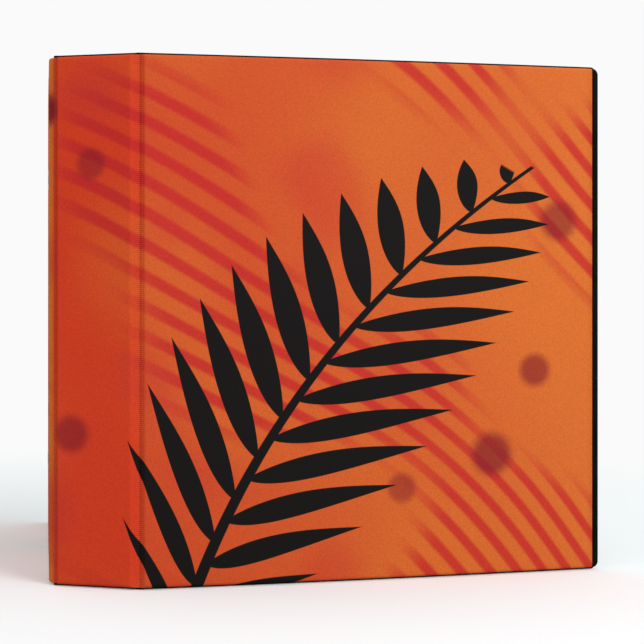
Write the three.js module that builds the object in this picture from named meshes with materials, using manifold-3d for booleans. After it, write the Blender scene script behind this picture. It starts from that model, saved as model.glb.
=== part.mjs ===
// Three-ring binder in heat-sealed vinyl, standing ajar on its bottom edges.
// Millimetres, +Z up. The origin is at the spine's foot, midway between the hinge lines.
// The back cover stands along +Y and carries the D-ring mechanism on its +X face. The
// spine slants from it towards +X and -Y, and the front cover goes on from there.
import * as THREE from "three";
import { mergeVertices } from "three/addons/utils/BufferGeometryUtils.js";
import Module from "manifold-3d";

const wasm = await Module();
wasm.setup();

// Covers
const coverHeight = 296; // bottom rim to top rim
const coverWidth = 273.5; // hinge line to fore edge
const spineWidth = 51.5; // hinge line to hinge line
const boardThickness = 2.5;
const vinyl = 0.45;
const seat = 0.3; // gap left between pieces that lie on each other
const frontOpening = 146; // inside angle between spine and front cover, degrees
const backOpening = 116; // inside angle between spine and back cover, degrees
const frontBow = 3; // how far the middle of the front cover bulges outwards
const panelEdge = 2.2; // hinge line to the edge of a padded panel
const edgeBand = 4; // black vinyl turned over the fore edge, seen on the outer face
const rim = 0.5; // welded rim of the liner, past the printed sheet at top and bottom
const edgeRounding = 1.5; // how the printed sheet rounds off at top and bottom
const hingeRounding = 1.6; // and beside the hinges
const foreCorner = 4;
const hingeCorner = 3;
const weldThickness = 0.9; // both sheets fused, at the hinges and the rims

// Pockets inside the covers
const pocketSheet = 0.35;
const pocketMargin = 6; // pocket to the panel's edges
const pocketHeight = 165;
const pocketSlope = 38; // how much lower the pocket's mouth is at the fore edge

// Ring mechanism
const ringPitch = 108; // between neighbouring rings
const ringRadius = 1.75; // of the wire
const ringHeight = 41; // wire centre at the top of the D, over the liner
const ringBulge = 20; // wire centre at the back of the D, from the casing's middle
const footSpread = 8.5; // wire centre at the foot, from the casing's middle
const footHeight = 0.9; // the staked foot under the blade
const neckHeight = 10; // where the curved half turns out over the casing
const bulgeFrom = 17; // lower and upper corner of the D's back
const bulgeTo = 27;
const crownAt = 8; // where the curved half reaches its full height
const ringJoin = 3; // where the two halves meet, from the casing's middle
const mechanismAt = 32; // casing's middle from the hinge line
const casingEnd = 17; // casing's end past the outer ring
const casingLength = 2 * (ringPitch + casingEnd);
const casingWidth = 28;
const casingHeight = 9;
const casingSheet = 0.8;
const casingFoot = 0.8; // height at which the arch springs from the rolled lips
const lipWidth = 1.6;
const bladeThickness = 1.2;
const bladePivotAt = 12; // blade's outer edge from the casing's middle
const bladePivotHeight = 2.6;
const bladeSlope = 6; // degrees down to the seam while the rings are shut
const seamGap = 0.3; // half the gap between the blades
const bladeEnd = 10; // blade's end from the casing's end
const leverPinAt = 5; // pin from the casing's end
const leverPinHeight = 5.2;
const leverPinRadius = 1;
const leverHub = 2.2;
const leverWidth = 12;
const leverSheet = 1.6;
const leverReach = 17; // pin to the tip of the handle
const leverLean = 55; // handle over the cover, degrees
const leverNose = 4.2;
const leverNoseDrop = 38; // nose under the level, degrees
const rivetInset = 28; // rivet from the outer ring, towards the middle one
const rivetSpread = ringPitch - rivetInset;
const rivetRadius = 2;
const rivetHeadRadius = 5.5;
const rivetHeadHeight = 0.9;
const rivetDomeRadius = 3.8;

// Steps in curves
const bowSteps = 10;
const endSteps = 6;
const cornerSteps = 4;
const roundingSteps = 3;
const wireSides = 10;
const archSteps = 14;

const degrees = Math.PI / 180;
const far = 500; // cutters reach past every piece
const panelHalf = boardThickness / 2 + seat + vinyl;
const panelLift = panelHalf - weldThickness / 2; // the hinge's plane to a panel's middle

// Colours of the real materials
const printedVinyl = new THREE.MeshStandardMaterial({ color: 0xdd5a2c, roughness: 0.55 });
const blackVinyl = new THREE.MeshStandardMaterial({ color: 0x17171a, roughness: 0.5 });
const greyBoard = new THREE.MeshStandardMaterial({ color: 0x8f857a, roughness: 0.9 });
const nickel = new THREE.MeshStandardMaterial({ color: 0xc9cacd, roughness: 0.22, metalness: 1 });

// A closed three.js geometry as a solid that can be cut and joined.
function solid(geometry) {
  const bare = geometry.clone();
  bare.deleteAttribute("normal");
  bare.deleteAttribute("uv");
  const merged = mergeVertices(bare, 1e-4);
  return new wasm.Manifold(
    new wasm.Mesh({
      numProp: 3,
      vertProperties: merged.attributes.position.array,
      triVerts: new Uint32Array(merged.index.array),
    }),
  );
}

// A finished solid as a named mesh.
function piece(name, made, material) {
  const { vertProperties, triVerts } = made.getMesh();
  const geometry = new THREE.BufferGeometry();
  geometry.setAttribute("position", new THREE.BufferAttribute(new Float32Array(vertProperties), 3));
  geometry.setIndex(new THREE.BufferAttribute(new Uint32Array(triVerts), 1));
  geometry.computeVertexNormals();
  const mesh = new THREE.Mesh(geometry, material);
  mesh.name = name;
  return mesh;
}

// Points on an arc from one angle to another, both ends included.
function arc(x, y, radius, from, to, steps) {
  return Array.from({ length: steps + 1 }, (_, i) => {
    const angle = (from + ((to - from) * i) / steps) * degrees;
    return new THREE.Vector2(x + radius * Math.cos(angle), y + radius * Math.sin(angle));
  });
}

// An outline in X and Y, drawn up Z from one height to another, its ends rounded off.
function column(points, bottom, top, rounding = 0) {
  const geometry = new THREE.ExtrudeGeometry(new THREE.Shape(points), {
    depth: top - bottom - 2 * rounding,
    bevelEnabled: rounding > 0,
    bevelThickness: rounding,
    bevelSize: rounding,
    bevelOffset: -rounding,
    bevelSegments: roundingSteps,
  });
  return solid(geometry.translate(0, 0, bottom + rounding));
}

// An outline in X and Z, drawn through Y from one depth to another.
function wall(points, near, deep) {
  const geometry = new THREE.ExtrudeGeometry(new THREE.Shape(points), {
    depth: deep - near,
    bevelEnabled: false,
  });
  return solid(geometry.rotateX(Math.PI / 2).translate(0, deep, 0));
}

const box = (x0, x1, y0, y1, z0, z1) =>
  solid(
    new THREE.BoxGeometry(x1 - x0, y1 - y0, z1 - z0).translate(
      (x0 + x1) / 2,
      (y0 + y1) / 2,
      (z0 + z1) / 2,
    ),
  );

// A round bar along X or Y, for holes.
function bar(radius, x, y, z, axis) {
  const geometry = new THREE.CylinderGeometry(radius, radius, far, 16);
  if (axis === "x") geometry.rotateZ(Math.PI / 2);
  return solid(geometry.translate(x, y, z));
}

// A panel is a board between two sheets. `start` and `end` are its edges along X, `out` is
// the sign of Y on its outer side, and `bow` is how far its middle bulges that way. It is
// flat inside, in line with the welds, and rounded outside, and `square` is how far its
// inner side runs before a rounded fore edge.
const rise = ({ start, end, bow }, x) => {
  const share = Math.min(1, Math.max(0, (x - start) / (end - start)));
  return 4 * bow * share * (1 - share);
};

// A point of a panel's section: `y` is measured outwards from the panel's middle plane.
const level = (panel, x, y) =>
  new THREE.Vector2(x, panel.out * (y + panelLift + rise(panel, x)));

// The section of a panel, moved in by `inset` from the outer skin on every side. It runs
// from the outer side round the hinge edge, along the inner side and back by the far edge.
function panelSection(panel, inset) {
  const half = panelHalf - inset;
  const radius = hingeRounding - inset;
  const left = panel.start + inset;
  const right = panel.end - inset;
  const innerEnd = panel.square < panel.end ? right - half : right;
  const outerEnd = panel.square < panel.end ? right - half : right - radius;
  const steps = panel.bow ? bowSteps : 1;
  const along = (from, to, y) =>
    Array.from(
      { length: steps - 1 },
      (_, i) => new THREE.Vector2(from + ((to - from) * (i + 1)) / steps, y),
    );
  const farEdge =
    panel.square < panel.end
      ? arc(right - half, 0, half, -90, 90, endSteps)
      : [new THREE.Vector2(right, -half), ...arc(right - radius, half - radius, radius, 0, 90, cornerSteps)];
  const points = [
    ...arc(left + radius, half - radius, radius, 90, 180, cornerSteps),
    new THREE.Vector2(left, -half),
    ...along(left, innerEnd, -half),
    ...farEdge,
    ...along(outerEnd, left + radius, half),
  ];
  return points.map((p) => level(panel, p.x, p.y));
}

// The outline of a panel seen from outside, with its rounded corners, as a cutter.
function panelOutline(panel, inset, bottom, top) {
  const corner = (x, z, radius, from) => arc(x, z, radius, from, from + 90, cornerSteps);
  const rightRadius = panel.endCorner - inset;
  const leftRadius = hingeCorner - inset;
  const left = panel.start + inset;
  const right = panel.end - inset;
  return wall(
    [
      ...corner(right - rightRadius, top - rightRadius, rightRadius, 0),
      ...corner(left + leftRadius, top - leftRadius, leftRadius, 90),
      ...corner(left + leftRadius, bottom + leftRadius, leftRadius, 180),
      ...corner(right - rightRadius, bottom + rightRadius, rightRadius, 270),
    ],
    -far,
    far,
  );
}

// Everything between two levels across a panel's thickness, bowed with it.
function layer(panel, low, high, x0 = -far, x1 = far, bottom = -far, top = far) {
  const stations = Array.from(
    { length: bowSteps + 1 },
    (_, i) => panel.start + ((panel.end - panel.start) * i) / bowSteps,
  ).filter((x) => x > x0 && x < x1);
  const xs = [x0, ...stations, x1];
  const points = [
    ...xs.map((x) => level(panel, x, low)),
    ...xs.reverse().map((x) => level(panel, x, high)),
  ];
  return column(points, bottom, top);
}

// The whole padded body of a panel, moved in by `inset`.
function panelBody(panel, inset) {
  const bottom = rim + inset;
  const top = coverHeight - rim - inset;
  const rounded = column(panelSection(panel, inset), bottom, top, edgeRounding - inset);
  const flat = layer(
    panel,
    inset - panelHalf,
    0,
    panel.start + inset,
    panel.square - inset,
    bottom,
    top,
  );
  return rounded.add(flat).intersect(panelOutline(panel, inset, bottom, top));
}

// The board, the printed outer sheet and the black liner of a panel. `drill` is what the
// rivets need cleared, and `band` is how much of the outer face the liner covers.
function panelPieces(name, panel, band = 0, drill = null) {
  const shell = panelBody(panel, 0).subtract(panelBody(panel, vinyl));
  const printedEnd = band ? panel.end - band : far;
  const weld = weldThickness - panelHalf;
  const printed = shell.intersect(layer(panel, weld + seat, far, -far, printedEnd - seat));
  const rimPlate = layer(panel, -panelHalf, weld, panel.start, panel.square, 0, coverHeight)
    .intersect(panelOutline(panel, 0, 0, coverHeight))
    .subtract(panelBody(panel, vinyl));
  const lined = shell.subtract(layer(panel, weld, far, -far, printedEnd)).add(rimPlate);
  const parts = {
    skin: [printed, printedVinyl],
    liner: [lined, blackVinyl],
    board: [panelBody(panel, vinyl + seat), greyBoard],
  };
  return Object.entries(parts).map(([part, [made, material]]) =>
    piece(`${name}_${part}`, drill ? made.subtract(drill) : made, material),
  );
}

// A pocket: one sheet over the liner, with a mouth that slopes down to the fore edge.
function pocket(name, panel, near) {
  const bottom = rim + pocketMargin;
  const farSide = panel.end - pocketMargin;
  const outer = -panelHalf - seat;
  const sheetPiece = layer(
    panel,
    outer - pocketSheet,
    outer,
    near,
    farSide,
    bottom,
    bottom + pocketHeight,
  );
  const mouth = wall(
    [
      new THREE.Vector2(near, bottom),
      new THREE.Vector2(farSide, bottom),
      new THREE.Vector2(farSide, bottom + pocketHeight - pocketSlope),
      new THREE.Vector2(near, bottom + pocketHeight),
    ],
    -far,
    far,
  );
  return piece(name, sheetPiece.intersect(mouth), blackVinyl);
}

// The welded strip on a hinge line: both sheets fused, bent from the spine into a cover.
// `side` is +1 at the front cover and -1 at the back cover.
function hingeStrip(name, side, opening) {
  const half = weldThickness / 2;
  const reach = panelEdge - seat;
  const bend = 180 - opening;
  const turn = (angle) =>
    new THREE.Vector2(side * Math.cos(angle * degrees), Math.sin(angle * degrees));
  const cover = turn(bend);
  const outer = Array.from({ length: cornerSteps + 1 }, (_, i) => {
    return turn(-90 + (bend * i) / cornerSteps).multiplyScalar(half);
  });
  const inner = turn(90 + bend / 2).multiplyScalar(half / Math.cos((bend / 2) * degrees));
  const coverOut = turn(bend - 90).multiplyScalar(half);
  const points = [
    new THREE.Vector2(-side * reach, -half),
    ...outer,
    cover.clone().multiplyScalar(reach).add(coverOut),
    cover.clone().multiplyScalar(reach).sub(coverOut),
    inner,
    new THREE.Vector2(-side * reach, half),
  ];
  const mesh = piece(name, column(points, rim, coverHeight - rim), printedVinyl);
  mesh.position.x = (side * spineWidth) / 2;
  return mesh;
}

// Points of the mechanism are given across the casing and up from the liner. The casing's
// own frame has its middle at X 0, and up is -Y, towards the inside of the binder.
const across = (x, up) => new THREE.Vector2(x, -up);

// The casing: a pressed arch of sheet steel with lips rolled in under the blades' edges.
function ringCasing() {
  const half = casingWidth / 2;
  const arch = (inset) =>
    Array.from({ length: archSteps + 1 }, (_, i) => {
      const angle = Math.PI - (Math.PI * i) / archSteps;
      return across(
        (half - inset) * Math.cos(angle),
        casingFoot + (casingHeight - casingFoot - inset) * Math.sin(angle),
      );
    });
  const lip = (side) => [
    across(side * (half - casingSheet), seat),
    across(side * (half - casingSheet - lipWidth), seat),
    across(side * (half - casingSheet - lipWidth), casingFoot),
  ];
  const points = [...arch(0), ...lip(1), ...arch(casingSheet).reverse(), ...lip(-1).reverse()];
  const halfLength = casingLength / 2;
  let made = column(points, -halfLength, halfLength);
  for (const ring of [-1, 0, 1]) {
    for (const side of [-1, 1]) {
      const inner = side * (footSpread - ringRadius - 2 * seat);
      const outer = side * (footSpread + 2 * ringRadius);
      const slot = box(
        Math.min(inner, outer),
        Math.max(inner, outer),
        -far,
        -bladePivotHeight - bladeThickness,
        ring * ringPitch - ringRadius - 2 * seat,
        ring * ringPitch + ringRadius + 2 * seat,
      );
      made = made.subtract(slot);
    }
  }
  for (const end of [-1, 1]) {
    const mouthHalf = leverWidth / 2 + 2 * seat;
    const mouthFrom = halfLength - leverPinAt - leverHub - 2 * seat;
    const mouth = box(
      -mouthHalf,
      mouthHalf,
      -far,
      -casingFoot - seat,
      end > 0 ? mouthFrom : -far,
      end > 0 ? far : -mouthFrom,
    );
    const pinHole = bar(
      leverPinRadius + seat,
      0,
      -leverPinHeight,
      end * (halfLength - leverPinAt),
      "x",
    );
    const rivetHole = bar(rivetRadius + seat, 0, 0, end * rivetSpread, "y");
    made = made.subtract(mouth).subtract(pinHole).subtract(rivetHole);
  }
  return piece("ring_casing", made, nickel);
}

// One of the two blades under the casing. It rocks on its outer edge and carries ring halves.
function ringBlade(name, side) {
  const half = bladeThickness / 2;
  const width = bladePivotAt - seamGap;
  const slope = bladeSlope * degrees;
  const place = (inwards, up) =>
    across(
      side * (bladePivotAt - inwards * Math.cos(slope) + up * Math.sin(slope)),
      bladePivotHeight - inwards * Math.sin(slope) - up * Math.cos(slope),
    );
  const round = arc(0, 0, half, 90, 270, endSteps).map((p) => place(p.x, p.y));
  const points = [...round, place(width, -half), place(width, half)];
  const halfLength = casingLength / 2 - bladeEnd;
  let made = column(points, -halfLength, halfLength);
  for (const ring of [-1, 0, 1]) {
    made = made.subtract(bar(ringRadius + seat, side * footSpread, 0, ring * ringPitch, "y"));
  }
  for (const end of [-1, 1]) {
    made = made.subtract(bar(rivetRadius + 3 * seat, 0, 0, end * rivetSpread, "y"));
  }
  return piece(name, made, nickel);
}

// Wire bent through a list of corners, each with its own bend radius.
function bentWire(corners, height) {
  const path = new THREE.CurvePath();
  const at = ([x, up]) => new THREE.Vector3(x, -up, height);
  let last = at(corners[0]);
  corners.slice(1, -1).forEach(([x, up, radius], i) => {
    const corner = at([x, up]);
    const before = at(corners[i]).sub(corner).normalize();
    const after = at(corners[i + 2]).sub(corner).normalize();
    const reach = radius / Math.tan(before.angleTo(after) / 2);
    const enter = corner.clone().addScaledVector(before, reach);
    const leave = corner.clone().addScaledVector(after, reach);
    path.add(new THREE.LineCurve3(last, enter));
    path.add(new THREE.QuadraticBezierCurve3(enter, corner, leave));
    last = leave;
  });
  path.add(new THREE.LineCurve3(last, at(corners.at(-1))));
  const section = new THREE.Shape(arc(0, 0, ringRadius, 0, 360, wireSides).slice(0, wireSides));
  return solid(
    new THREE.ExtrudeGeometry(section, {
      steps: corners.length * 5,
      extrudePath: path,
    }),
  );
}

function curvedRing(name, height) {
  const corners = [
    [-footSpread, footHeight],
    [-footSpread, neckHeight, 4],
    [-ringBulge, bulgeFrom, 8],
    [-ringBulge, bulgeTo, 12],
    [-crownAt, ringHeight, 14],
    [ringJoin, ringHeight],
  ];
  return piece(name, bentWire(corners, height), nickel);
}

function straightRing(name, height) {
  const corners = [
    [footSpread, footHeight],
    [footSpread, ringHeight, 4],
    [ringJoin + seat, ringHeight],
  ];
  return piece(name, bentWire(corners, height), nickel);
}

// An opening lever: a hub on its pin, a nose that lifts the blades and a bent handle.
function leverPiece(name, end) {
  const along = (angle, length, offset) =>
    new THREE.Vector2(
      length * Math.cos(angle * degrees) - offset * Math.sin(angle * degrees),
      length * Math.sin(angle * degrees) + offset * Math.cos(angle * degrees),
    );
  const half = leverSheet / 2;
  const handleEnd = arc(leverReach - half, 0, half, -90, 90, cornerSteps).map((p) =>
    along(leverLean, p.x, p.y),
  );
  const nose = 180 + leverNoseDrop;
  const bottomGap = leverPinHeight - seat - 0.5;
  const points = [
    along(leverLean, leverHub, -half),
    ...handleEnd,
    along(leverLean, leverHub, half),
    ...arc(0, 0, leverHub, leverLean + 25, nose - 30, endSteps),
    along(nose, leverNose, -half),
    along(nose, leverNose, half),
    ...arc(0, 0, leverHub, nose + 30, 360 + leverLean - 25, endSteps),
  ].map((p) => new THREE.Vector2(p.x, Math.max(p.y, -bottomGap)));
  const geometry = new THREE.ExtrudeGeometry(new THREE.Shape(points), {
    depth: leverWidth,
    bevelEnabled: false,
  });
  // The outline is drawn outwards and up. It goes to Z and -Y, and its width to X.
  const turn = new THREE.Matrix4().makeBasis(
    new THREE.Vector3(0, 0, end),
    new THREE.Vector3(0, -1, 0),
    new THREE.Vector3(end, 0, 0),
  );
  geometry.translate(0, 0, -leverWidth / 2).applyMatrix4(turn);
  const pinZ = end * (casingLength / 2 - leverPinAt);
  geometry.translate(0, -leverPinHeight, pinZ);
  const made = solid(geometry).subtract(
    bar(leverPinRadius + seat, 0, -leverPinHeight, pinZ, "x"),
  );
  return piece(name, made, nickel);
}

function leverPin(name, end) {
  const geometry = new THREE.CylinderGeometry(
    leverPinRadius,
    leverPinRadius,
    casingWidth - 2,
    12,
  )
    .rotateZ(Math.PI / 2)
    .translate(0, -leverPinHeight, end * (casingLength / 2 - leverPinAt));
  return piece(name, solid(geometry), nickel);
}

// A rivet through casing, liner, board and printed sheet, with a domed head on each side.
function rivet(name, end) {
  const outside = 2 * panelHalf + seat;
  const inside = -casingHeight - seat;
  const dome = (radius, height, level, sign) =>
    [1, 0.92, 0.66, 0].map(
      (share) =>
        new THREE.Vector2(radius * share, level + sign * height * Math.sqrt(1 - share * share)),
    );
  const profile = [
    ...dome(rivetDomeRadius, rivetHeadHeight, inside, -1).reverse(),
    new THREE.Vector2(rivetRadius, inside),
    new THREE.Vector2(rivetRadius, outside),
    ...dome(rivetHeadRadius, rivetHeadHeight, outside, 1),
  ];
  const geometry = new THREE.LatheGeometry(profile, 20).translate(0, 0, end * rivetSpread);
  return piece(name, solid(geometry), nickel);
}

// Assembly
const binder = new THREE.Group();
binder.name = "ring_binder";
binder.rotation.z = (90 - backOpening) * degrees;

const spinePanel = {
  start: -spineWidth / 2 + panelEdge,
  end: spineWidth / 2 - panelEdge,
  square: spineWidth / 2 - panelEdge,
  out: -1,
  bow: 0,
  endCorner: hingeCorner,
};
binder.add(...panelPieces("spine", spinePanel));
binder.add(hingeStrip("front_hinge", 1, frontOpening));
binder.add(hingeStrip("back_hinge", -1, backOpening));

const frontPanel = {
  start: panelEdge,
  end: coverWidth,
  square: coverWidth - panelHalf,
  out: -1,
  bow: frontBow,
  endCorner: foreCorner,
};
const frontCover = new THREE.Group();
frontCover.position.x = spineWidth / 2;
frontCover.rotation.z = (180 - frontOpening) * degrees;
frontCover.add(...panelPieces("front", frontPanel, edgeBand));
frontCover.add(pocket("front_pocket", frontPanel, panelEdge + panelHalf + pocketMargin));
binder.add(frontCover);

const backPanel = {
  start: panelEdge,
  end: coverWidth,
  square: coverWidth - panelHalf,
  out: 1,
  bow: 0,
  endCorner: foreCorner,
};
const backCover = new THREE.Group();
backCover.position.x = -spineWidth / 2;
backCover.rotation.z = backOpening * degrees;
const middle = coverHeight / 2;
const rivetHoles = [-1, 1]
  .map((end) => bar(rivetRadius + seat, mechanismAt, 0, middle + end * rivetSpread, "y"))
  .reduce((a, b) => a.add(b));
backCover.add(...panelPieces("back", backPanel, edgeBand, rivetHoles));
const pocketStart = mechanismAt + casingWidth / 2 + pocketMargin;
backCover.add(pocket("back_pocket", backPanel, pocketStart));

const mechanism = new THREE.Group();
mechanism.position.set(mechanismAt, -weldThickness / 2, middle);
mechanism.add(ringCasing());
mechanism.add(ringBlade("blade_spine_side", -1), ringBlade("blade_page_side", 1));
for (const [place, step] of [
  ["bottom", -1],
  ["middle", 0],
  ["top", 1],
]) {
  mechanism.add(curvedRing(`curved_ring_${place}`, step * ringPitch));
  mechanism.add(straightRing(`straight_ring_${place}`, step * ringPitch));
}
for (const [place, end] of [
  ["bottom", -1],
  ["top", 1],
]) {
  mechanism.add(leverPiece(`lever_${place}`, end));
  mechanism.add(leverPin(`lever_pin_${place}`, end));
  mechanism.add(rivet(`rivet_${place}`, end));
}
backCover.add(mechanism);
binder.add(backCover);

export default binder;
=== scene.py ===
import math

import bpy
import numpy as np
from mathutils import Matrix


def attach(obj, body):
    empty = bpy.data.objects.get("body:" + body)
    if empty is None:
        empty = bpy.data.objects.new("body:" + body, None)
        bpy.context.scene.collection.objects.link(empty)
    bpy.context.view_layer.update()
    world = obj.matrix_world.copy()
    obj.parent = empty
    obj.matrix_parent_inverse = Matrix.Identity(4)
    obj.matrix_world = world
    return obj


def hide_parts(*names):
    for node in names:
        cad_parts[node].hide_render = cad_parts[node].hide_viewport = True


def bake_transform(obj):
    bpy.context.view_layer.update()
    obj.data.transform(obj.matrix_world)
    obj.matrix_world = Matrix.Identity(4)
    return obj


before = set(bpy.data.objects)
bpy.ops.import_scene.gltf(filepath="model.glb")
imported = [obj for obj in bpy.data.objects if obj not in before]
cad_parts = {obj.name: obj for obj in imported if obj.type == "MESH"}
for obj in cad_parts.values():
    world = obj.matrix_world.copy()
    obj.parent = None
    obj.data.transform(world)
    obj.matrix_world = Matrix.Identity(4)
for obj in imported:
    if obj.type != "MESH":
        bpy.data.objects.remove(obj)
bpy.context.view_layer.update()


# Boards. Three sheets of grey chipboard, cut to size and sealed between the vinyl sheets.
# The cutter leaves their edges crushed round. They are the speckled grey of pressed waste
# paper, and the spine's is narrower than its panel.
HEIGHT = 0.296
SPINE = 0.0515
COVER = 0.2735
HALF = 0.002  # half the thickness of a padded panel
WELD = 0.0009  # thickness of two sheets fused together
GAP = 0.0022  # hinge line to the edge of a panel
BOARD = 0.0025  # thickness
BOARD_INSET = 0.0032  # end of a board to the top or bottom of its panel
SPINE_TURN = math.radians(-26)
FRONT_TURN = math.radians(8)
BACK_TURN = math.radians(90)
front_line = np.array([math.cos(SPINE_TURN), math.sin(SPINE_TURN)]) * SPINE / 2
back_line = -front_line
LIFT = HALF - WELD / 2  # the hinges' plane to a panel's middle

# Each panel: where it hangs in plan, its turn, its two edges along it, which side of it is
# the outside, and how far it bows outwards. sheet gives its hinge line's place along the
# printed sheet laid flat and its direction there, and fore whether it has a fore edge.
# slope gives the foot and the top of its face's slope, from the hinge line it hangs at,
# and end_slope those from the hinge line at its far end.
panels = {
    "spine": {
        "at": back_line, "turn": SPINE_TURN, "start": GAP, "end": SPINE - GAP,
        "out": -1, "bow": 0.0, "sheet": (-SPINE, 1), "fore": False,
        "slope": (0.0014, 0.0036), "end_slope": (-0.0016, 0.0052),
    },
    "front": {
        "at": front_line, "turn": FRONT_TURN, "start": GAP, "end": COVER,
        "out": -1, "bow": 0.003, "sheet": (0.0, 1), "fore": True,
        "slope": (-0.0009, 0.0023),
    },
    "back": {
        "at": back_line, "turn": BACK_TURN, "start": GAP, "end": COVER,
        "out": 1, "bow": 0.0, "sheet": (-SPINE, -1), "fore": True,
        "slope": (0.0014, 0.0036),
    },
}


class Signal:
    """A shader socket that takes part in Python sums: each sum adds its own node."""

    def __init__(self, tree, socket=None):
        self.tree = tree
        self.socket = socket

    def add(self, kind, settings=None, inputs=None, output=0):
        """Adds a node of any type: its settings first, then values or links for its sockets."""
        node = self.tree.nodes.new(kind)
        for name, value in (settings or {}).items():
            setattr(node, name, value)
        for name, value in (inputs or {}).items():
            if isinstance(value, Signal):
                self.tree.links.new(value.socket, node.inputs[name])
            else:
                node.inputs[name].default_value = value
        return Signal(self.tree, node.outputs[output])

    def beside(self, output):
        """Another output of the node that this one comes from."""
        return Signal(self.tree, self.socket.node.outputs[output])

    def maths(self, operation, *others):
        """This value, put through an operation of the Math node with the others."""
        values = dict(enumerate((self, *others)))
        return self.add("ShaderNodeMath", {"operation": operation}, values)

    def __add__(self, other):
        return self.maths("ADD", other)

    def __sub__(self, other):
        return self.maths("SUBTRACT", other)

    def __rsub__(self, other):
        return self.add("ShaderNodeMath", {"operation": "SUBTRACT"}, {0: other, 1: self})

    def __mul__(self, other):
        return self.maths("MULTIPLY", other)

    def __truediv__(self, other):
        return self.maths("DIVIDE", other)

    def __abs__(self):
        return self.maths("ABSOLUTE")

    __radd__ = __add__
    __rmul__ = __mul__

    def ease(self, low, high):
        """0 below low, 1 above high and a smooth S between them. low may be the larger."""
        share = (self - low) * (1 / (high - low))
        limits = {"interpolation_type": "SMOOTHSTEP"}
        return self.add("ShaderNodeMapRange", limits, {"Value": share})

    def mix(self, first, second):
        """The colour first where this is 0 and the colour second where it is 1."""
        kind = {"data_type": "RGBA"}
        return self.add("ShaderNodeMix", kind, {0: self, 6: first, 7: second}, 2)


def srgb(red, green, blue):
    """A colour given as 0-255 screen values, as the linear values that shaders take."""
    share = np.array([red, green, blue]) / 255
    linear = np.where(share <= 0.04045, share / 12.92, ((share + 0.055) / 1.055) ** 2.4)
    return (*linear.tolist(), 1.0)


def new_finish(name, **sockets):
    """A material with one Principled shader, its fixed sockets set. Gives the material,
    a Signal to start from and the shader."""
    material = bpy.data.materials.new(name)
    material.use_nodes = True
    shader = material.node_tree.nodes["Principled BSDF"]
    for socket, value in sockets.items():
        shader.inputs[socket.replace("_", " ")].default_value = value
    return material, Signal(material.node_tree), shader


def feed(shader, **sockets):
    """Links signals to the shader's sockets, named with _ for a space."""
    for socket, signal in sockets.items():
        signal.tree.links.new(signal.socket, shader.inputs[socket.replace("_", " ")])


def object_noise(start, scale, detail=2.0, stretch=(1, 1, 1)):
    """Noise on Object coordinates, 0 to 1. stretch squeezes it along an axis."""
    point = start.add("ShaderNodeTexCoord", output="Object")
    point = point.add("ShaderNodeMapping", None, {"Vector": point, "Scale": stretch})
    return point.add(
        "ShaderNodeTexNoise", None, {"Vector": point, "Scale": scale, "Detail": detail}
    )


def grey_chipboard():
    material, start, shader = new_finish("grey_chipboard", Roughness=0.9)
    fibres = object_noise(start, 900, 4).ease(0.3, 0.7)
    feed(shader, Base_Color=fibres.mix(srgb(122, 114, 105), srgb(152, 143, 131)))
    bump = {"Height": fibres, "Distance": 0.0001, "Strength": 0.4}
    feed(shader, Normal=start.add("ShaderNodeBump", None, bump))
    return material


def stand(panel, across, out, up):
    """Puts a panel's own coordinates into the binder's. across runs along it, out is the
    height outwards from the hinges' plane, and up is +Z. The panel's bow is a parabola,
    bow * 4 t (1 - t), with t from 0 to 1 across it."""
    share = np.clip((across - panel["start"]) / (panel["end"] - panel["start"]), 0, 1)
    y = panel["out"] * (out + 4 * panel["bow"] * share * (1 - share))
    cosine, sine = math.cos(panel["turn"]), math.sin(panel["turn"])
    x0, y0 = panel["at"]
    return np.stack(
        [x0 + cosine * across - sine * y, y0 + sine * across + cosine * y, up], axis=-1
    )


def surface(
    name, points, finishes, close_u=False, close_v=False, flip=False, pick=None, keep=None
):
    """A mesh from a grid of points of shape (rows, columns, 3). close_u joins the last row
    to the first and close_v the last column to the first. flip turns the faces over, pick
    gives each face's material number from its row and column, and keep whether it stays."""
    rows, columns = points.shape[:2]
    u = np.arange(rows if close_u else rows - 1)
    v = np.arange(columns if close_v else columns - 1)
    u, v = np.meshgrid(u, v, indexing="ij")
    below, right = (u + 1) % rows, (v + 1) % columns
    row, next_row = u * columns, below * columns
    corners = [row + v, next_row + v, next_row + right, row + right]
    faces = np.stack(corners[::-1] if flip else corners, axis=-1).reshape(-1, 4)
    points = points.reshape(-1, 3)
    if keep is not None:
        used, faces = np.unique(faces[keep.ravel()], return_inverse=True)
        points, faces = points[used], faces.reshape(-1, 4)
    mesh = bpy.data.meshes.new(name)
    mesh.from_pydata(points.tolist(), [], faces.tolist())
    mesh.polygons.foreach_set("use_smooth", np.ones(len(faces), bool))
    for finish in finishes:
        mesh.materials.append(finish)
    if pick is not None:
        mesh.polygons.foreach_set("material_index", pick(u, v).ravel().astype(np.int32))
    piece = bpy.data.objects.new(name, mesh)
    bpy.context.collection.objects.link(piece)
    return piece


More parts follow.
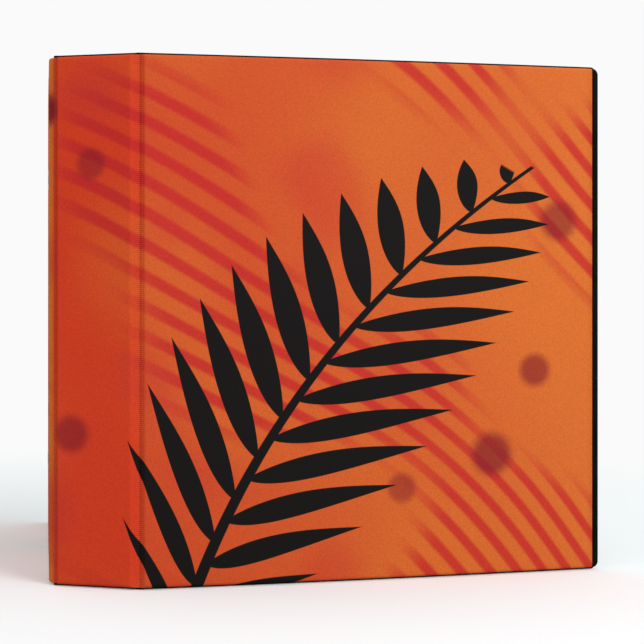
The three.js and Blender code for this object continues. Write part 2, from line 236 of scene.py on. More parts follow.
def spine_slab():
    """A board with crushed edges: in plan two level faces joined by half circles. Towards
    the top and bottom its thickness falls as the square root of 1 less the square of the
    share of the last 1.25 mm, down to a sharp line."""
    half = BOARD / 2
    start, end = GAP + 0.0014, SPINE - GAP - 0.0024  # clear of the sheet's two slopes
    bend = np.radians(np.linspace(-90, 90, 9))
    nose = half * np.cos(bend)
    across = np.concatenate([end - half + nose, start + half - nose])
    out = np.concatenate([np.sin(bend), -np.sin(bend)]) * half
    crush = np.linspace(0, np.pi / 2, 6)
    share = np.cos(crush)
    inset = half * (1 - np.sin(crush))[::-1]
    up = np.concatenate([BOARD_INSET + inset, HEIGHT - BOARD_INSET - inset[::-1]])
    thick = np.concatenate([share[::-1], share])
    across, up = np.meshgrid(across, up, indexing="ij")
    points = stand(panels["spine"], across, LIFT + out[:, None] * thick, up)
    return surface("spine_chipboard", points, [board_finish], close_u=True)


board_finish = grey_chipboard()
for name in ("front_board", "back_board"):
    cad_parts[name].data.materials.clear()
    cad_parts[name].data.materials.append(board_finish)

board = spine_slab()
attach(board, "spine")
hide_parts("spine_board")


# Printed outer sheets. One printed sheet of canvas-grained vinyl lies over all three
# boards. It is welded to the black sheet round each board and at the hinges, so each
# panel is a low pillow whose edges drop to the weld.
VINYL = 0.00045  # thickness of each sheet
RIM = 0.0010  # black rim past the printed sheet, top and bottom
BAND = 0.0044  # black sheet turned over the fore edge
RISE = 2 * HALF - WELD  # weld to the face of a panel
SHOULDER = 0.0017  # radius at which the sheet turns over a board's top and bottom edge
WALL = RISE - SHOULDER  # and how far it climbs from the weld before that
HINGE_CORNER = 0.0006  # radius of a panel's corners at a hinge
FORE_CORNER = 0.0036  # and at a fore edge
SLOPING = 0.0036  # width of the closely spaced stations beside a hinge
STATION = 0.006  # step between stations on a level face


def climb(run):
    """Where the sheet is after a run from the weld at a top or bottom edge: how far in from
    the edge, and how high. It climbs a steep wall, turns over the board on an arc, with
    cosine and sine of the angle run so far, and goes on level."""
    angle = np.clip((run - WALL) / SHOULDER, 0, np.pi / 2)
    level = np.maximum(run - WALL - SHOULDER * np.pi / 2, 0)
    inwards = SHOULDER * (1 - np.cos(angle)) + level
    upwards = np.clip(run, 0, WALL) + SHOULDER * np.sin(angle)
    return inwards, upwards


def sink(distance, slope):
    """How high the sheet is at a distance from a hinge line: an S, 3 t^2 - 2 t^3 of the
    rise, with t from 0 to 1 between the slope's foot and its top."""
    t = np.clip((distance - slope[0]) / (slope[1] - slope[0]), 0, 1)
    return RISE * t * t * (3 - 2 * t)


def between(low, high):
    return np.linspace(low, high, max(3, int((high - low) / STATION) + 1))


def up_the_side(low, high):
    """Stations up a panel and the run that each has from the nearer weld: close together
    over the walls and arcs, and a STATION apart between them."""
    wall = np.linspace(0, WALL, 4)[:-1]
    arc = WALL + SHOULDER * np.linspace(0, np.pi / 2, 8)
    past_arc = 0.0055
    edge = np.concatenate([wall, arc, [past_arc]])
    inset = climb(edge)[0]
    middle = between(low + inset[-1], high - inset[-1])
    up = np.concatenate([low + inset[:-1], middle, high - inset[-2::-1]])
    run = np.concatenate([edge[:-1], np.full(len(middle), 1.0), edge[-2::-1]])
    return up, run


def round_corners(across, up, start, end, bottom, top, hinge, fore):
    """Pulls a square-cornered grid in to rounded corners. In the square of a corner, a
    point at (x, y) from the arc's centre moves to (x, y) times max(x, y) over its own
    distance, so that each square line there becomes an arc."""
    across, up = across.copy(), up.copy()
    for side, radius in ((start, hinge), (end, fore)):
        for level in (bottom, top):
            sx = 1 if side == end else -1
            sy = 1 if level == top else -1
            cx, cy = side - sx * radius, level - sy * radius
            x, y = (across - cx) * sx, (up - cy) * sy
            inside = (x > 0) & (y > 0)
            pull = np.maximum(x, y) / np.maximum(np.hypot(x, y), 1e-9)
            across = np.where(inside, cx + sx * x * pull, across)
            up = np.where(inside, cy + sy * y * pull, up)
    return across, up


def lay_wrap(piece, along, up):
    """A UV map named wrap: metres along the printed sheet laid flat, and metres up it."""
    mesh = piece.data
    corner = np.empty(len(mesh.loops), np.int32)
    mesh.loops.foreach_get("vertex_index", corner)
    flat = np.stack([along.ravel(), up.ravel()], axis=-1)[corner]
    mesh.uv_layers.new(name="wrap").data.foreach_set("uv", flat.ravel())


def thicken(piece, thickness):
    """Gives a sheet its thickness, on the inner side of its faces."""
    wall = piece.modifiers.new("thickness", "SOLIDIFY")
    wall.thickness = thickness
    wall.offset = -1
    return piece


def soft_noise(flat, scale):
    """Noise without detail, 0 to 1, laid on the flat sheet."""
    inputs = {"Vector": flat, "Scale": scale, "Detail": 0}
    return flat.add("ShaderNodeTexNoise", None, inputs)


def ground_colour(flat, along):
    """Red at the spine, orange towards the fore edge, and golden on the back cover."""
    place = {"Value": along, "From Min": 0.0, "From Max": 0.27}
    warmth = along.add("ShaderNodeMapRange", None, place)
    ground = warmth.mix(srgb(213, 76, 38), srgb(224, 114, 48))
    ground = along.ease(-0.002, 0.002).mix(srgb(222, 64, 32), ground)
    ground = along.ease(-0.0522, -0.0538).mix(ground, srgb(232, 118, 42))
    glow = soft_noise(flat, 9).ease(0.4, 0.7) * 0.4
    return glow.mix(ground, srgb(228, 122, 46))


def ribbons(flat, along, up, ground):
    """Soft crimson ribbons, the sine of a phase that grows along and up the sheet, kept in
    groups by one noise, and a wide blush near the spine by another."""
    phase = up * 350 + along * 150 + along * along * 400 + soft_noise(flat, 5) * 20
    wave = phase.maths("SINE").ease(-0.35, 0.8) * soft_noise(flat, 7).ease(0.44, 0.56)
    picture = (wave * 0.85).mix(ground, srgb(203, 40, 40))
    blush = soft_noise(flat, 14).ease(0.52, 0.74) * along.ease(0.24, 0.02) * 0.6
    return blush.mix(picture, srgb(206, 52, 46))


def disc(along, up, x, y, radius, depth):
    """A blurred disc: depth within 0.6 of the radius, falling to 0 at 1.25 of it."""
    right, rise = along - x, up - y
    distance = (right * right + rise * rise).maths("SQRT")
    return distance.ease(radius * 1.25, radius * 0.6) * depth


def frond(along, up, x, y, lean, length, leaf, curve, pitch):
    """A stem from a foot at (x, y), bent to a parabola, with lens-shaped leaves in even
    steps up both sides, half a step out of turn. With s the share of the stem, a leaf is
    leaf * (4 s (1 - s)) ^ 0.6 long. With t the share of the leaf, its width goes as
    sin(pi t ^ 0.75)."""
    cosine, sine = math.cos(math.radians(lean)), math.sin(math.radians(lean))
    right, rise = along - x, up - y
    stem = right * cosine + rise * sine
    side = rise * cosine - right * sine
    side = side + stem * stem * curve - stem * (curve * length * 0.5)
    reach = abs(side)
    share = stem / length
    leaf_width, rib, rib_taper = 0.0092, 0.0036, 0.0024
    longest = (share * (1 - share) * 4).maths("POWER", 0.6) * leaf
    level = (stem - reach * 0.8) / pitch + side.maths("SIGN") * 0.25
    cell = abs(level.maths("FRACT") - 0.5) * pitch
    tip = (reach / longest).maths("MINIMUM", 1.0)
    width = (tip.maths("POWER", 0.75) * math.pi).maths("SINE") * leaf_width
    width = width * (longest / leaf).maths("POWER", 0.5)
    blade = (width - cell).ease(-0.0002, 0.0003)
    blade = blade * (longest - reach).ease(0.0, 0.0005) * share.ease(0.975, 0.97)
    rib = (rib - share * rib_taper - reach).ease(-0.0002, 0.0003)
    return blade.maths("MAXIMUM", rib) * stem.ease(0.0, 0.001) * share.ease(1.0, 0.995)


def leafy_print():
    """The print, in metres on the flat sheet: a ground with ribbons, blurred plum discs,
    and a black frond on each cover, one with leaves that cross on to the spine. Over it
    lies the canvas grain of the vinyl, with the ink a little uneven on it."""
    material, start, shader = new_finish("printed_vinyl", Specular_IOR_Level=0.12)
    flat = start.add("ShaderNodeUVMap", {"uv_map": "wrap"})
    along = flat.add("ShaderNodeSeparateXYZ", None, {0: flat})
    up = along.beside(1)
    picture = ribbons(flat, along, up, ground_colour(flat, along))

    # Discs: x, y, radius and depth of each.
    for place in (
        (0.205, 0.070, 0.013, 0.8), (0.232, 0.118, 0.010, 0.75), (0.150, 0.052, 0.009, 0.6),
        (0.247, 0.205, 0.012, 0.7), (-0.028, 0.235, 0.009, 0.6), (-0.040, 0.085, 0.011, 0.7),
        (-0.060, 0.266, 0.011, 0.95), (-0.120, 0.120, 0.016, 0.7), (-0.200, 0.210, 0.012, 0.7),
    ):
        picture = disc(along, up, *place).mix(picture, srgb(140, 26, 40))

    # Fronds: foot, lean in degrees, length, leaf length, curve and step between leaves.
    front = frond(along, up, 0.020, -0.030, 62, 0.335, 0.080, 1.1, 0.026)
    back = frond(along, up, -0.210, -0.020, 100, 0.290, 0.062, -1.0, 0.024)
    picture = front.maths("MAXIMUM", back).mix(picture, srgb(14, 11, 10))

    point = start.add("ShaderNodeTexCoord", output="Object")
    grain = point.add("ShaderNodeTexVoronoi", None, {"Vector": point, "Scale": 1500})
    speck = object_noise(start, 1100, 3)
    shade = speck.ease(0.3, 0.7).mix((0.84, 0.84, 0.84, 1), (1, 1, 1, 1))
    darkened = {"data_type": "RGBA", "blend_type": "MULTIPLY"}
    picture = picture.add("ShaderNodeMix", darkened, {0: 1.0, 6: picture, 7: shade}, 2)
    feed(shader, Base_Color=picture)
    feed(shader, Roughness=0.56 + speck * 0.2)
    bump = {"Height": grain + speck * 0.9, "Distance": 0.00009, "Strength": 0.4}
    feed(shader, Normal=start.add("ShaderNodeBump", None, bump))
    return material


printed_vinyl = leafy_print()


def outer_sheet(name, panel):
    """The pillow's outer side: the height at each point is the lower of its slope from
    the hinge and its climb from the top or bottom. It ends level at a fore edge's band.
    The back cover's is a little slack near the hinge, by a product of two slow sines of
    the height."""
    start, end = panel["start"], panel["end"]
    near = np.linspace(start, start + SLOPING, 13)[:-1]
    if panel["fore"]:
        across = np.concatenate([near, between(start + SLOPING, end - BAND)])
        height = sink(across, panel["slope"])
    else:
        far = np.linspace(end - SLOPING, end, 13)[1:]
        across = np.concatenate([near, between(start + SLOPING, end - SLOPING), far])
        height = sink(SPINE - across, panel["end_slope"])
        height = np.minimum(sink(across, panel["slope"]), height)
    up, run_up = up_the_side(RIM, HEIGHT - RIM)
    across, up = np.meshgrid(across, up, indexing="ij")
    out = WELD / 2 + np.minimum(height[:, None], climb(run_up)[1])
    fore = FORE_CORNER if panel["fore"] else HINGE_CORNER
    x, z = round_corners(across, up, start, end, RIM, HEIGHT - RIM, HINGE_CORNER, fore)
    if name == "back":
        slack = 0.00012 * (1 + np.sin(z * 61 + 1.0) * np.sin(z * 23))
        out = out - slack * (x < 0.1)
    points = stand(panel, x, out, z)
    flip = panel["out"] > 0
    piece = surface(f"{name}_printed_sheet", points, [printed_vinyl], flip=flip)
    wrap_start, sign = panel["sheet"]
    lay_wrap(piece, wrap_start + sign * across, up)
    thicken(piece, VINYL)
    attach(piece, name if name == "spine" else f"{name}_cover")
    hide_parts(f"{name}_skin")


for name, panel in panels.items():
    outer_sheet(name, panel)


# Black liners. The inner sheet is plain black vinyl of the same grain. It closes each
# panel from inside, turns over the fore edge as a narrow band, and is left standing
# past the print as a thin rim at top and bottom.
def black_vinyl(name, dark, light, gloss, roughness):
    """Two close blacks in soft clouds, with a fine pressed grain."""
    material, start, shader = new_finish(name, Specular_IOR_Level=gloss)
    point = start.add("ShaderNodeTexCoord", output="Object")
    grain = point.add("ShaderNodeTexVoronoi", None, {"Vector": point, "Scale": 1300})
    cloud = object_noise(start, 60, 3)
    feed(shader, Base_Color=cloud.ease(0.35, 0.7).mix(dark, light))
    feed(shader, Roughness=roughness + cloud * 0.14)
    bump = {"Height": grain, "Distance": 0.00008, "Strength": 0.4}
    feed(shader, Normal=start.add("ShaderNodeBump", None, bump))
    return material


black_finish = black_vinyl("black_vinyl", srgb(13, 13, 14), srgb(19, 19, 20), 0.02, 0.46)


def liner(name, panel):
    """A profile in plan, carried up the panel: flat inside, and at a fore edge half a
    circle round the nose and back over the outer side as far as the band. Near the top
    and bottom its outer part sinks to the weld with the same climb as the printed sheet,
    and a last row closes the two sides on the weld's plane."""
    start, end = panel["start"], panel["end"]
    inner_end = end - HALF if panel["fore"] else end
    across = np.linspace(start, inner_end, 46 if panel["fore"] else 10)
    out = np.full_like(across, -WELD / 2)
    if panel["fore"]:
        angle = np.linspace(-np.pi / 2, np.pi / 2, 19)[1:]
        across = np.concatenate([across, inner_end + HALF * np.cos(angle), [end - BAND]])
        out = np.concatenate([out, LIFT + HALF * np.sin(angle), [LIFT + HALF]])
    up, run_up = up_the_side(RIM, HEIGHT - RIM)
    up = np.concatenate([[RIM], up, [HEIGHT - RIM]])
    share = climb(np.concatenate([[0], run_up, [0]]))[1] / (WALL + SHOULDER)
    across, up = np.meshgrid(across, up, indexing="ij")
    above = np.maximum(out[:, None] - WELD / 2, 0)
    out = np.minimum(out[:, None], WELD / 2) + above * share
    out[:, [0, -1]] = 0
    fore = FORE_CORNER if panel["fore"] else HINGE_CORNER
    x, z = round_corners(across, up, start, end, RIM, HEIGHT - RIM, HINGE_CORNER, fore)
    flip = panel["out"] < 0
    piece = surface(f"{name}_black_sheet", stand(panel, x, out, z), [black_finish], flip=flip)
    return thicken(piece, VINYL)


def rim_strip(name, panel):
    """A small rounded rectangle, weld thick, carried round the panel's outline, a little
    in from its sides. The outline's corners are quarter circles."""
    inset, hinge = 0.0008, 0.0003
    start, end = panel["start"] + inset, panel["end"] - inset
    fore = 0.0032 if panel["fore"] else hinge
    outline, inward = [], []
    for cx, cz, radius, first in (
        (end - fore, HEIGHT - fore, fore, 0),
        (start + hinge, HEIGHT - hinge, hinge, 90),
        (start + hinge, hinge, hinge, 180),
        (end - fore, fore, fore, 270),
    ):
        angle = np.radians(np.linspace(first, first + 90, 9))
        ray = np.stack([np.cos(angle), np.sin(angle)], axis=-1)
        outline.append(np.array([cx, cz]) + radius * ray)
        inward.append(-ray)
        if first in (0, 180):
            after = start + hinge if first == 0 else end - fore
            run = np.linspace(outline[-1][-1, 0], after, 42)[1:-1]
            outline.append(np.stack([run, np.full_like(run, outline[-1][-1, 1])], axis=-1))
            inward.append(np.tile(inward[-1][-1], (len(run), 1)))
    outline, inward = np.concatenate(outline), np.concatenate(inward)
    depth = np.array([0.0, 0.0, 0.0002, 0.0024, 0.0024, 0.0002])
    level = WELD / 2 * np.array([-0.4, 0.4, 1, 1, -1, -1])
    path = outline[:, None] + inward[:, None] * depth[None, :, None]
    out = np.broadcast_to(level, path.shape[:2])
    points = stand(panel, path[..., 0], out, path[..., 1])
    flip = panel["out"] > 0
    return surface(f"{name}_rim", points, [black_finish], True, True, flip=flip)


def joined(first, *others):
    """Puts several meshes into the first one's object."""
    with bpy.context.temp_override(
        active_object=first, selected_editable_objects=[first, *others]
    ):
        bpy.ops.object.join()
    return first


def settled(piece):
    """Applies the piece's modifiers, so that its mesh is final."""
    with bpy.context.temp_override(object=piece, active_object=piece):
        for modifier in list(piece.modifiers):
            bpy.ops.object.modifier_apply(modifier=modifier.name)
    return piece


for name, panel in panels.items():
    sheet = joined(settled(liner(name, panel)), rim_strip(name, panel))
    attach(sheet, name if name == "spine" else f"{name}_cover")
    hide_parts(f"{name}_liner")


# Hinges. Between the panels the two sheets are fused by a ribbed bar, which leaves a
# row of fine ribs across a narrow valley. The valley is what bends, and each strip is
# shaped to turn there from the spine's heading on one side to its cover's on the other.
RIB_PITCH = 0.00112
RIB_HEIGHT = 0.00011
RIB_STOP = 0.0012  # end of the print to the first rib
CREASE = 0.00016  # depth of the line that the valley bends at
CREASE_HALF = 0.00025
BEND = 0.0012  # how far from the hinge line a strip bends
TUCK = 0.0009  # how far its ends run under the panels' sheets
TUCK_DIP = 0.0010


def hinge_strip(name, panel, side):
    """A flat loop carried up the hinge line. The middle line's heading turns from the
    spine's to the cover's over the bend, and its points are the running sum of the
    headings. The outer side has the slopes of both panels and the ribs, a flattened
    cosine of the height, and its ends dip under the panels' sheets."""
    steps = np.linspace(-GAP, GAP, 31)
    middle = len(steps) // 2 + 1
    steps = np.concatenate([[-GAP - TUCK, *steps, GAP + TUCK]])
    share = np.clip(steps / BEND / 2 + 0.5, 0, 1)
    spine_way = SPINE_TURN + (0 if side > 0 else math.pi)
    turn = panel["turn"] - spine_way
    turn = math.atan2(math.sin(turn), math.cos(turn))
    heading = spine_way + turn * share * share * (3 - 2 * share)
    way = np.stack([np.cos(heading), np.sin(heading)], axis=-1)
    move = (way[1:] + way[:-1]) / 2 * np.diff(steps)[:, None]
    line = np.concatenate([[[0, 0]], np.cumsum(move, axis=0)])
    line += panel["at"] - line[middle]
    normal = np.stack([np.sin(heading), -np.cos(heading)], axis=-1) * side
    up = np.arange(0, HEIGHT + 1e-6, RIB_PITCH / 6)
    up = up * HEIGHT / up[-1]
    inset = np.minimum(up, HEIGHT - up) - RIM
    arc = np.sqrt(np.clip(1 - np.clip(1 - inset / SHOULDER, 0, 1) ** 2, 0, 1))
    limit = np.where(inset > 0, WALL + SHOULDER * arc, 0)[:, None]
    spine_slope = panels["spine"]["end_slope" if side > 0 else "slope"]
    flank = np.where(steps < 0, sink(-steps, spine_slope), sink(steps, panel["slope"]))
    flank = np.minimum(flank, limit)
    crease = CREASE * np.exp(-((steps / CREASE_HALF) ** 2))
    wave = np.tanh(2.2 * np.cos(2 * np.pi * up / RIB_PITCH)) * RIB_HEIGHT
    ribs = wave[:, None] * np.clip(1.15 - np.abs(steps / GAP) ** 4, 0, 1)
    ribs[inset < RIB_STOP] = 0
    height = WELD / 2 + flank + ribs - crease
    height[:, [0, -1]] -= TUCK_DIP
    outer = line[None] + normal[None] * height[..., None]
    inner = (line - normal * WELD / 2)[::-8]
    inner = np.broadcast_to(inner, (len(up), *inner.shape))
    plan = np.concatenate([outer, inner], axis=1)
    tall = np.broadcast_to(up[:, None, None], (*plan.shape[:2], 1))

    def inside(u, v):
        """Black on the inner side and on the rims, and printed between."""
        edge = (up[u] < RIM) | (up[u] > HEIGHT - RIM - RIB_PITCH / 6)
        return ((v >= len(steps) - 1) | edge).astype(int)

    piece = surface(
        name, np.concatenate([plan, tall], axis=2), [printed_vinyl, black_finish],
        close_v=True, flip=side > 0, pick=inside,
    )
    wrap_start, sign = panel["sheet"]
    wrap = wrap_start + sign * np.concatenate([steps, steps[::-8]])
    lay_wrap(piece, np.broadcast_to(wrap, plan.shape[:2]), tall[..., 0])
    spine_end = panel["at"] - BEND * np.array([math.cos(spine_way), math.sin(spine_way)])
    cover_way = panel["turn"]
    cover_end = panel["at"] + BEND * np.array([math.cos(cover_way), math.sin(cover_way)])
    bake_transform(piece)
    return piece


for name, side in (("front", 1), ("back", -1)):
    strip = hinge_strip(f"{name}_weld", panels[name], side)
    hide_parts(f"{name}_hinge")


# Pockets. A plain black sheet is welded inside each cover along three sides, with a
# mouth that slopes down to the fore edge. A pressed line runs inside the weld.
POCKET = 0.00035  # thickness
POCKET_MARGIN = 0.006
POCKET_HEIGHT = 0.165  # at the hinge side
POCKET_SLOPE = 0.038  # how much lower its mouth is at the fore edge
POCKET_LINE = 0.0012  # its edge to the pressed line, and the line's width
MECHANISM = 0.032  # hinge line to the middle of the casing
CASING_HALF = 0.014

pocket_finish = black_vinyl("smooth_black_vinyl", srgb(26, 26, 27), srgb(33, 33, 34), 0.4, 0.3)


def pocket(cover, near):
    """A grid between the sides and under the sloping mouth. Its height over the liner is
    the sheet at the weld, then an eased rise to a slack middle near the mouth."""
    panel = panels[cover]
    far_side = panel["end"] - POCKET_MARGIN
    step = np.array([0, 0.0004, 0.0012, 0.0015, 0.0018, 0.0021, 0.0024, 0.0032])
    level = 0.006  # where the stations stop following the pressed line
    middle = between(near + level, far_side - level)
    across = np.concatenate([near + step, middle, far_side - step[::-1]])
    middle_up = between(level, POCKET_HEIGHT - level)
    share_up = np.concatenate([step, middle_up, POCKET_HEIGHT - step[::-1]]) / POCKET_HEIGHT
    across, share_up = np.meshgrid(across, share_up, indexing="ij")
    mouth = POCKET_HEIGHT - POCKET_SLOPE * (across - near) / (far_side - near)
    up = RIM + POCKET_MARGIN + share_up * mouth
    edge = np.minimum(np.minimum(across - near, far_side - across), share_up * mouth)
    lift = np.clip((edge - POCKET_LINE) / POCKET_LINE, 0, 1)
    slack = np.clip(edge / 0.05, 0, 1) * share_up**2 * 0.0004
    out = -(WELD / 2 + 0.00006 + POCKET + lift * lift * (3 - 2 * lift) * 0.0002 + slack)
    flip = panel["out"] < 0
    name = f"{cover}_pocket_sheet"
    piece = surface(name, stand(panel, across, out, up), [pocket_finish], flip=flip)
    thicken(piece, POCKET)
    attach(piece, f"{cover}_cover")
    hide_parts(f"{cover}_pocket")


pocket("front", GAP + HALF + POCKET_MARGIN)
pocket("back", MECHANISM + CASING_HALF + POCKET_MARGIN)


# Ring casing. A strip of spring steel, pressed to an arch with its lips rolled in, then
# pierced for the rings, rivets and levers and plated with nickel. Its edges are tumbled
# smooth. The blades under it are plain plated strips.
RING_PITCH = 0.108
MIDDLE = HEIGHT / 2
STEEL = 0.0008  # thickness of the casing's sheet
foot_of_mechanism = back_line + np.array([WELD / 2, MECHANISM])


def nickel_plate():
    """Bright nickel with fine streaks up the piece, from drawing and polishing."""
    material, start, shader = new_finish("nickel_plate", Metallic=1.0)
    streaks = object_noise(start, 260, 3, (1, 1, 0.04))
    cloud = object_noise(start, 45, 3)
    feed(shader, Base_Color=cloud.ease(0.3, 0.7).mix(srgb(214, 212, 208), srgb(228, 227, 224)))
    feed(shader, Roughness=0.13 + streaks * 0.12 + cloud * 0.06)
    bump = {"Height": streaks, "Distance": 0.00002, "Strength": 0.25}
    feed(shader, Normal=start.add("ShaderNodeBump", None, bump))
    return material


nickel = nickel_plate()


def round_edges(piece, radius, sharp):
    """Rounds the edges whose faces meet at more than an angle in degrees."""
    edges = piece.modifiers.new("rounded edges", "BEVEL")
    edges.width = radius
    edges.segments = 2
    edges.limit_method = "ANGLE"
    edges.angle_limit = math.radians(sharp)
    return edges


def tumbled(node, body, radius):
    """A copy of a solid with its corners merged, its sharp edges found by angle and then
    rounded to a small radius."""
    sharp = 32
    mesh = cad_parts[node].data.copy()
    piece = bpy.data.objects.new(f"{node}_plated", mesh)
    bpy.context.collection.objects.link(piece)
    weld = piece.modifiers.new("merged corners", "WELD")
    weld.merge_threshold = 0.000002
    settled(piece)
    piece.data.shade_smooth()
    piece.data.set_sharp_from_angle(angle=math.radians(sharp))
    round_edges(piece, radius, sharp).harden_normals = True
    piece.data.materials.clear()
    piece.data.materials.append(nickel)
    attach(piece, body)
    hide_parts(node)


def casing():
    """The outer side of the sheet, p across and q out from the cover: in plan half an
    ellipse on low feet, whose lips turn in on quarter circles, carried up the casing. Faces
    in the ring slots and the levers' mouths are left out, and the sheet gets its thickness
    inwards."""
    rise, foot, roll, end = 0.0082, 0.0008, 0.0005, 0.125
    slot_near, slot_far, slot_half = 0.00615, 0.0120, 0.00235
    mouth_half, mouth_from, cut_above = 0.0066, 0.1172, 0.0038
    cuts = np.array([slot_far, slot_near, mouth_half]) / CASING_HALF
    cuts = np.degrees(np.arccos(cuts))
    angle = np.radians(np.unique([*np.linspace(0, 180, 61), *cuts, *(180 - cuts)]))
    turn = np.radians([-90, -60, -30])
    lip_p = np.concatenate([[0.0116, 0.0126], CASING_HALF - roll + roll * np.cos(turn)])
    lip_q = np.concatenate([[foot - roll] * 2, foot + roll * np.sin(turn)])
    p = np.concatenate([lip_p, CASING_HALF * np.cos(angle), -lip_p[::-1]])
    q = np.concatenate([lip_q, foot + rise * np.sin(angle), lip_q[::-1]])
    rings = RING_PITCH * np.array([-1, 0, 1])
    slots = np.concatenate([rings - slot_half, rings + slot_half])
    z = np.unique([*np.linspace(-end, end, 42), *slots, -mouth_from, mouth_from])
    middle_p, middle_q = abs(p[1:] + p[:-1]) / 2, (q[1:] + q[:-1]) / 2
    middle_z = ((z[1:] + z[:-1]) / 2)[:, None]
    near_ring = np.abs(middle_z - rings[None]).min(axis=1, keepdims=True) < slot_half
    slot = (middle_p > slot_near) & (middle_p < slot_far) & near_ring
    mouth = (middle_p < mouth_half) & (abs(middle_z) > mouth_from)
    keep = ~((slot | mouth) & (middle_q > cut_above))
    x0, y0 = foot_of_mechanism
    plan = np.broadcast_to(np.stack([x0 + q, y0 + p], axis=-1), (len(z), len(p), 2))
    height = np.broadcast_to(MIDDLE + z[:, None, None], (len(z), len(p), 1))
    points = np.concatenate([plan, height], axis=2)
    piece = surface("ring_casing_pressed", points, [nickel], keep=keep)
    thicken(piece, STEEL)
    round_edges(piece, 0.0002, 40)
    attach(piece, "back_cover")
    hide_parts("ring_casing")


casing()
tumbled("blade_spine_side", "curved_rings", 0.0002)
tumbled("blade_page_side", "straight_rings", 0.0002)


# Rings. Three D-rings of 3.5 mm wire, each in two halves staked into a blade: a bowed
# half on the spine side and a straight leg on the page side. A tongue on one tip locks
# into the other.
WIRE = 0.00175  # radius
CHAMFER = 0.0002
TONGUE = 0.00026


def wire_path(corners):
    """Straight runs joined by bends. At each corner the run stops short by radius over the
    tangent of half the angle, and a quadratic curve through the corner takes over."""
    corners = np.array(corners, float)
    places, radii = corners[:, :2], corners[:, 2]
    path = [places[0]]
    t = np.linspace(0, 1, 15)[:, None]
    for before, place, after, radius in zip(places, places[1:], places[2:], radii[1:]):
        to_last = (before - place) / np.linalg.norm(before - place)
        to_next = (after - place) / np.linalg.norm(after - place)
        reach = radius / math.tan(math.acos(float(to_last @ to_next)) / 2)
        enter, leave = place + to_last * reach, place + to_next * reach
        path.extend((1 - t) ** 2 * enter + 2 * t * (1 - t) * place + t**2 * leave)
    path.append(places[-1])
    return np.array(path)


def ring_half(name, node, body, corners, height, tongue):
    """A circle carried along the wire's path, square to it, closed at its foot by a point
    and at its tip by rows of smaller circles: a chamfer, and for the tongue a narrower
    step. The path is in p across the casing and q out from the cover."""
    path = wire_path(corners)
    way = np.gradient(path, axis=0)
    way /= np.linalg.norm(way, axis=1, keepdims=True)
    ends, shares = [path[-1] - way[-1] * CHAMFER, path[-1], path[-1]], [1, 0.88, 0]
    if tongue:
        tip = path[-1] + way[-1] * tongue
        ends += [tip - way[-1] * CHAMFER / 2, tip, tip]
        shares = [1, 0.88, 0.5, 0.5, 0.4, 0]
    path = np.concatenate([[path[0]], path[:-1], ends])
    way = np.concatenate([[way[0]], way[:-1], np.tile(way[-1], (len(ends), 1))])
    radius = WIRE * np.concatenate([[0], np.ones(len(path) - 1 - len(ends)), shares])
    angle = np.linspace(0, 2 * np.pi, 21)[:-1]
    flat = np.stack([-way[:, 1], way[:, 0]], axis=-1)
    swing = radius[:, None, None] * np.cos(angle)[None, :, None] * flat[:, None]
    p, q = np.moveaxis(path[:, None] + swing, -1, 0)
    z = height + radius[:, None] * np.sin(angle)
    x0, y0 = foot_of_mechanism
    points = np.stack([x0 + q, y0 + p, z], axis=-1)
    piece = surface(name, points, [nickel], close_v=True)
    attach(piece, body)
    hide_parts(node)


# Corners of the wire in p and q, each with its bend radius.
curved_corners = [
    (-0.0085, 0.0009, 0), (-0.0085, 0.010, 0.004), (-0.020, 0.017, 0.008),
    (-0.020, 0.027, 0.012), (-0.008, 0.041, 0.014), (0.003, 0.041, 0),
]
straight_corners = [(0.0085, 0.0009, 0), (0.0085, 0.041, 0.004), (0.0033, 0.041, 0)]
for place, step in (("bottom", -1), ("middle", 0), ("top", 1)):
    height = MIDDLE + step * RING_PITCH
    ring_half(
        f"curved_wire_{place}", f"curved_ring_{place}", "curved_rings",
        curved_corners, height, TONGUE,
    )
    ring_half(
        f"straight_wire_{place}", f"straight_ring_{place}", "straight_rings",
        straight_corners, height, 0,
    )


# Levers. One at each end of the casing, pressed from thicker sheet, on a pin through the
# casing's sides. Pressing the handle down lifts the blades with the nose.
for place in ("bottom", "top"):
    tumbled(f"lever_{place}", f"{place}_lever", 0.0004)
    tumbled(f"lever_pin_{place}", "back_cover", 0.0003)


# Rivets. Two tubular rivets hold the casing through the back cover. Their low heads are
# the only metal seen from outside.
RIVET_SPREAD = 0.080  # the casing's middle to each


def rivet(place, height):
    """A profile turned about an axis along X. The inner head's height falls as the square
    root of 1 less the square of the share of the radius. The outer one is a low cone with
    that edge and a shallow dish in the middle."""
    share = np.linspace(1, 0, 14)
    dome = np.sqrt(1 - share**2)
    low = 0.6 * np.sqrt(1 - share**6) + 0.4 * (1 - share) - 0.35 * np.exp(-((share / 0.3) ** 2))
    inner_face, outer_face = 0.0093, -2 * HALF - 0.0001
    inner_radius, outer_radius, shank_radius = 0.0038, 0.0055, 0.002
    inner = np.stack([inner_face + 0.0009 * dome, inner_radius * share], axis=-1)
    outer = np.stack([outer_face - 0.0005 * low, outer_radius * share], axis=-1)
    shank = [
        [inner_face, inner_radius], [inner_face, shank_radius],
        [outer_face, shank_radius], [outer_face, outer_radius],
    ]
    profile = np.concatenate([inner[::-1], shank, outer])
    angle = np.linspace(0, 2 * np.pi, 33)[:-1]
    x0, y0 = foot_of_mechanism
    x = np.broadcast_to(x0 + profile[:, :1], (len(profile), len(angle)))
    y = y0 + profile[:, 1:] * np.cos(angle)
    z = height + profile[:, 1:] * np.sin(angle)
    points = np.stack([x, y, z], axis=-1)
    piece = surface(f"rivet_{place}_turned", points, [nickel], close_v=True)
    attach(piece, "back_cover")
    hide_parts(f"rivet_{place}")


rivet("bottom", MIDDLE - RIVET_SPREAD)
rivet("top", MIDDLE + RIVET_SPREAD)


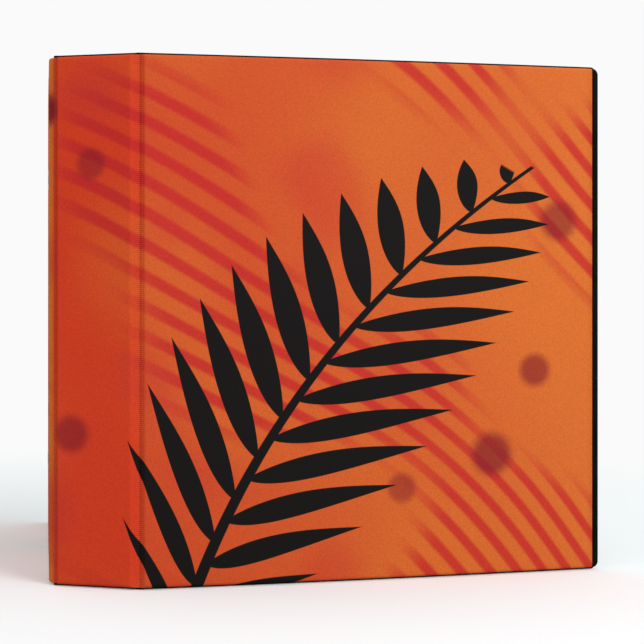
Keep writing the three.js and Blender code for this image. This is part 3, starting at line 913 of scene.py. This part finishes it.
# Stand. A pale floor that fades into a white backdrop, a soft key light from the front
# right, low enough to throw the shadow back to the left, and an even light all round.
WHITE = 0.955
FLOOR_GLOW = 0.14


def pale_floor():
    """Diffuse, with the rest of its brightness given to camera rays only. Beyond a ring
    round the binder it passes into plain white."""
    material = bpy.data.materials.new("pale_floor")
    material.use_nodes = True
    tree = material.node_tree
    start = Signal(tree)
    output = tree.nodes["Material Output"]
    tree.nodes.remove(tree.nodes["Principled BSDF"])
    point = start.add("ShaderNodeTexCoord", output="Object")
    reach = start.add("ShaderNodeVectorMath", {"operation": "LENGTH"}, {0: point}, "Value")
    rays = start.add("ShaderNodeLightPath", output="Is Camera Ray")
    paint = start.add("ShaderNodeBsdfDiffuse", None, {"Color": (0.90, 0.945, 0.955, 1)})
    glow = start.add("ShaderNodeEmission", None, {"Strength": FLOOR_GLOW})
    both = start.add("ShaderNodeAddShader", None, {0: paint, 1: glow})
    white = start.add("ShaderNodeEmission", None, {"Strength": WHITE})
    edge = reach.ease(0.45, 0.9)
    faded = start.add("ShaderNodeMixShader", None, {0: edge, 1: both, 2: white})
    dull = start.add("ShaderNodeBsdfDiffuse", None, {"Color": (0.6, 0.6, 0.6, 1)})
    shown = start.add("ShaderNodeMixShader", None, {0: rays, 1: dull, 2: faded})
    tree.links.new(shown.socket, output.inputs["Surface"])
    return material


sides = np.array([-8.0, 8.0])
floor_x, floor_y = np.meshgrid(sides, sides, indexing="ij")
points = np.stack([floor_x, floor_y, np.full_like(floor_x, -0.0002)], axis=-1)
floor = surface("floor", points, [pale_floor()])

world = bpy.data.worlds.new("studio")
bpy.context.scene.world = world
world.use_nodes = True
sky = Signal(world.node_tree)
even = world.node_tree.nodes["Background"]
even.inputs["Color"].default_value = (1, 1, 1, 1)
even.inputs["Strength"].default_value = 0.70
even = Signal(sky.tree, even.outputs[0])
paths = sky.add("ShaderNodeLightPath", output="Is Camera Ray")
seen = paths.maths("MAXIMUM", paths.beside("Is Glossy Ray"))
seen = seen.maths("MAXIMUM", paths.beside("Is Transmission Ray"))
backdrop = sky.add("ShaderNodeBackground", None, {"Color": (1, 1, 1, 1), "Strength": WHITE})
chosen = sky.add("ShaderNodeMixShader", None, {0: seen, 1: even, 2: backdrop})
sky.tree.links.new(chosen.socket, world.node_tree.nodes["World Output"].inputs["Surface"])


def softbox(name, azimuth, elevation, distance, size, power):
    """A square lamp aimed at the binder's middle from a plan angle and an elevation."""
    lamp = bpy.data.lights.new(name, "AREA")
    lamp.size = size
    lamp.energy = power
    a, e = math.radians(azimuth), math.radians(elevation)
    way = np.array([math.cos(a) * math.cos(e), math.sin(a) * math.cos(e), math.sin(e)])
    holder = bpy.data.objects.new(name, lamp)
    aim = np.array([0.13, 0.03, 0.12])
    holder.location = aim + way * distance
    holder.rotation_euler = (math.pi / 2 - e, 0, a + math.pi / 2)
    bpy.context.collection.objects.link(holder)


softbox("key", -60, 30, 2.2, 0.9, 22)


# View. A level camera a little above the binder's middle, with its frame shifted down.
FRAME = 644  # pixels
FOCAL = 1911.3  # pixels
eye = bpy.data.cameras.new("eye")
eye.sensor_width = 36
eye.lens = FOCAL / FRAME * 36
eye.shift_y = -47.4 / FRAME
holder = bpy.data.objects.new("eye", eye)
holder.location = (-0.02848, -1.06866, 0.1736)
holder.rotation_euler = (math.pi / 2, 0, math.radians(-8.233))
bpy.context.collection.objects.link(holder)
bpy.context.scene.camera = holder
bpy.context.scene.view_settings.view_transform = "Standard"
